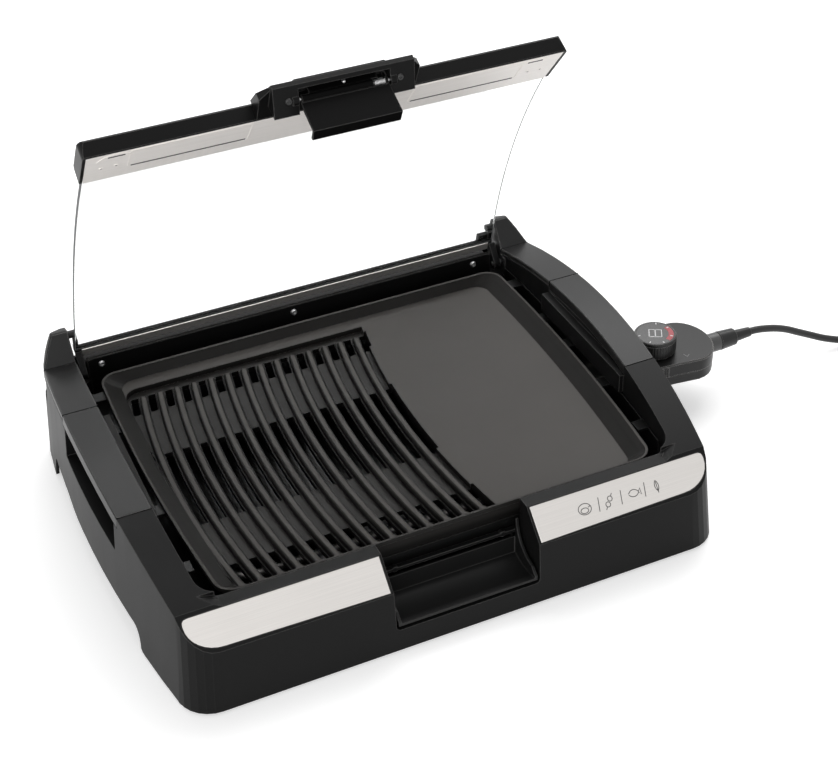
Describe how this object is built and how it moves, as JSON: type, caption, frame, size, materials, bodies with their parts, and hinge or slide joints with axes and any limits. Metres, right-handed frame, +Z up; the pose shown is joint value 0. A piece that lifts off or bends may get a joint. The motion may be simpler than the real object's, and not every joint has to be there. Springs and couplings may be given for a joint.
{
  "type": "electric indoor grill with lid",
  "caption": "Countertop electric grill: ribbed and flat cast plate in a moulded base with drip tray, hinged glass lid with latch and a plug-in temperature control on a cord.",
  "frame": {"origin": "on the table, under the middle of the object without its cord", "axes": "+X to the right, towards the plug-in control; +Y to the back, towards the lid's hinge; +Z up"},
  "size_m": [0.9645, 0.3888, 0.387],
  "materials": {
    "casing_black": "fine satin grain",
    "handle_black": "satin",
    "trim_steel": "brushed",
    "lining_black": "heat-proof satin enamel",
    "bright_steel": "zinc plated",
    "element_sheath": "oxidised",
    "sleeve_brass": "drawn",
    "control_black": "satin",
    "underside_steel": "galvanised",
    "foot_rubber": "matt",
    "plate_coating": "non-stick coated casting",
    "tray_black": "satin",
    "lid_glass": "clear, faint green edge",
    "lid_black": "satin",
    "knob_black": "semi-gloss",
    "dial_face": "printed",
    "ring_grey": "satin",
    "cord_rubber": "satin",
    "tie_black": "satin"
  },
  "bodies": {
    "base": {"base_housing": "casing_black", "rear_rail_left": "handle_black", "rear_rail_right": "handle_black", "handle_left": "handle_black", "handle_right": "handle_black", "hinge_post_left": "handle_black", "hinge_post_right": "handle_black", "trim_plate_left": "trim_steel", "trim_plate_right": "trim_steel", "heat_shield": "lining_black", "liner_screws": "bright_steel", "heating_element": "element_sheath", "element_clips": "bright_steel", "terminal_pins": "bright_steel", "probe_receptacle": "control_black", "latch_catch": "handle_black", "tray_rails": "bright_steel", "bottom_plate": "underside_steel", "bottom_screws": "bright_steel", "feet": "foot_rubber", "lid_stop_pins": "handle_black"},
    "plate": {"grill_plate": "plate_coating"},
    "tray": {"drip_tray": "tray_black"},
    "lid": {"lid_glass": "lid_glass", "lid_front_bar": "lid_black", "lid_liner_strip": "trim_steel", "handle_housing": "lid_black", "handle_screws": "bright_steel", "hinge_bar": "lid_black", "hinge_strip": "trim_steel", "glass_gasket": "foot_rubber", "hinge_arms": "lid_black", "hinge_pins": "bright_steel", "latch_pin": "bright_steel", "latch_spring": "bright_steel"},
    "latch": {"latch_lever": "lid_black"},
    "control": {"control_housing_top": "control_black", "control_housing_base": "control_black", "control_screws": "bright_steel", "probe_rod": "bright_steel", "contact_sleeves": "sleeve_brass", "cord_ring": "ring_grey", "strain_relief": "cord_rubber", "cord_lead": "cord_rubber", "cord_coil": "cord_rubber", "cord_tail": "cord_rubber", "coil_tie": "tie_black", "plug": "cord_rubber"},
    "knob": {"control_knob": "knob_black", "dial_disc": "dial_face"}
  },
  "joints": [
    {"name": "lid_hinge", "type": "hinge", "parent": "base", "child": "lid", "pos_m": [-0.04151, 0.1715, 0.075], "axis": [-1, 0, 0], "range_deg": [-61.7, 0]},
    {"name": "latch_pivot", "type": "hinge", "parent": "lid", "child": "latch", "pos_m": [-0.04151, 0.01308, 0.37198], "axis": [-1, 0, 0], "range_deg": [0, 12], "stiffness_Nm_per_rad": 0.3, "springref_deg": -11.46},
    {"name": "plate_lift", "type": "slide", "parent": "base", "child": "plate", "axis": [0, 0, 1], "range_m": [0, 0.035]},
    {"name": "tray_slide", "type": "slide", "parent": "base", "child": "tray", "axis": [0, -1, 0], "range_m": [0, 0.2]},
    {"name": "control_plug", "type": "slide", "parent": "base", "child": "control", "axis": [1, 0, 0], "range_m": [0, 0.05]},
    {"name": "knob_turn", "type": "hinge", "parent": "control", "child": "knob", "pos_m": [0.23701, -0.0005, 0.066], "axis": [0, 0, 1], "range_deg": [0, 270]}
  ]
}
